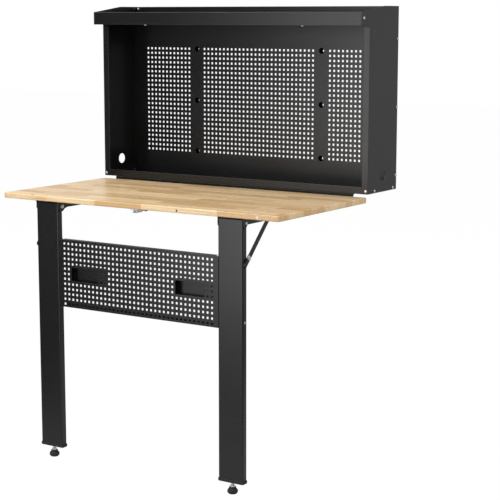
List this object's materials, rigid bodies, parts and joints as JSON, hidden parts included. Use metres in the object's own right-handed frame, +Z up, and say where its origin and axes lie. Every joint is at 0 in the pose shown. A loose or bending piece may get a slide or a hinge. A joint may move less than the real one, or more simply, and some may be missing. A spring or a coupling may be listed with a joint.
{
  "type": "wall mounted folding workbench",
  "caption": "Wall cabinet with a perforated tool panel and a top tray, and a wooden worktop that folds down from it onto a folding leg frame.",
  "frame": {"origin": "on the wall plane, at the middle of the wall fixings", "axes": "+X along the wall to the right as seen from the room, +Y into the wall, +Z up"},
  "size_m": [1.2066, 0.82, 1.66],
  "materials": {
    "black_powder_coat": "satin",
    "zinc_plated_steel": "satin",
    "black_plastic": "matte",
    "wood": "satin"
  },
  "bodies": {
    "cabinet": {"side_panel_left": "black_powder_coat", "side_panel_right": "black_powder_coat", "bottom_panel": "black_powder_coat", "perforated_rear_panel": "black_powder_coat", "wall_rail_left": "black_powder_coat", "wall_rail_right": "black_powder_coat", "top_tray": "black_powder_coat", "fascia": "black_powder_coat", "side_screws_left": "zinc_plated_steel", "side_screws_right": "zinc_plated_steel", "front_corner_screws": "zinc_plated_steel", "tray_rear_screws": "zinc_plated_steel", "fascia_dome_screws": "zinc_plated_steel", "hinge_cabinet_leaf": "black_powder_coat", "hinge_pin": "zinc_plated_steel", "hinge_cabinet_rivets": "zinc_plated_steel"},
    "folding_top": {"worktop": "wood", "hinge_worktop_leaf": "black_powder_coat", "hinge_worktop_screws": "zinc_plated_steel", "leg_bracket_left": "black_powder_coat", "leg_bracket_right": "black_powder_coat", "bracket_screws_left": "zinc_plated_steel", "bracket_screws_right": "zinc_plated_steel", "leg_pivot_bolt_left": "zinc_plated_steel", "leg_pivot_bolt_right": "zinc_plated_steel", "leg_pivot_nuts": "zinc_plated_steel", "latch_body": "zinc_plated_steel", "latch_screws": "zinc_plated_steel"},
    "leg_frame": {"leg_left": "black_powder_coat", "leg_right": "black_powder_coat", "leg_top_plugs": "black_plastic", "leg_cap_left": "black_plastic", "leg_cap_right": "black_plastic", "foot_insert_left": "zinc_plated_steel", "foot_insert_right": "zinc_plated_steel", "lower_perforated_panel": "black_powder_coat", "handle_pocket_left": "black_powder_coat", "handle_pocket_right": "black_powder_coat", "lower_panel_screws": "zinc_plated_steel", "brace_bolts": "black_powder_coat"},
    "brace_arm_left": {"brace_left": "black_powder_coat", "brace_pin_left": "zinc_plated_steel", "brace_collar_left": "zinc_plated_steel"},
    "brace_arm_right": {"brace_right": "black_powder_coat", "brace_pin_right": "zinc_plated_steel", "brace_collar_right": "zinc_plated_steel"},
    "latch_slider": {"latch_bolt": "zinc_plated_steel", "latch_knob": "black_plastic"},
    "levelling_foot_left": {"foot_stud_left": "zinc_plated_steel", "foot_nut_left": "zinc_plated_steel", "foot_pad_left": "black_plastic"},
    "levelling_foot_right": {"foot_stud_right": "zinc_plated_steel", "foot_nut_right": "zinc_plated_steel", "foot_pad_right": "black_plastic"}
  },
  "joints": [
    {"name": "worktop_fold", "type": "hinge", "parent": "cabinet", "child": "folding_top", "pos_m": [0, -0.22, -0.3045], "axis": [-1, 0, 0], "range_deg": [0, 90]},
    {"name": "leg_fold", "type": "hinge", "parent": "folding_top", "child": "leg_frame", "pos_m": [0, -0.791, -0.349], "axis": [1, 0, 0], "range_deg": [0, 90]},
    {"name": "latch_slide", "type": "slide", "parent": "folding_top", "child": "latch_slider", "axis": [0, -1, 0], "range_m": [0, 0.014]},
    {"name": "brace_fold_left", "type": "hinge", "parent": "leg_frame", "child": "brace_arm_left", "pos_m": [-0.4531, -0.798, -0.491], "axis": [-1, 0, 0], "range_deg": [0, 132.47]},
    {"name": "brace_fold_right", "type": "hinge", "parent": "leg_frame", "child": "brace_arm_right", "pos_m": [0.4531, -0.798, -0.491], "axis": [-1, 0, 0], "range_deg": [0, 132.47]},
    {"name": "foot_thread_left", "type": "slide", "parent": "leg_frame", "child": "levelling_foot_left", "axis": [0, 0, -1], "range_m": [-0.008, 0.015]},
    {"name": "foot_thread_right", "type": "slide", "parent": "leg_frame", "child": "levelling_foot_right", "axis": [0, 0, -1], "range_m": [-0.008, 0.015]}
  ],
  "couplings": [
    {"joint": "brace_fold_left", "follows": "leg_fold", "ratio": 1.4719},
    {"joint": "brace_fold_right", "follows": "leg_fold", "ratio": 1.4719}
  ]
}
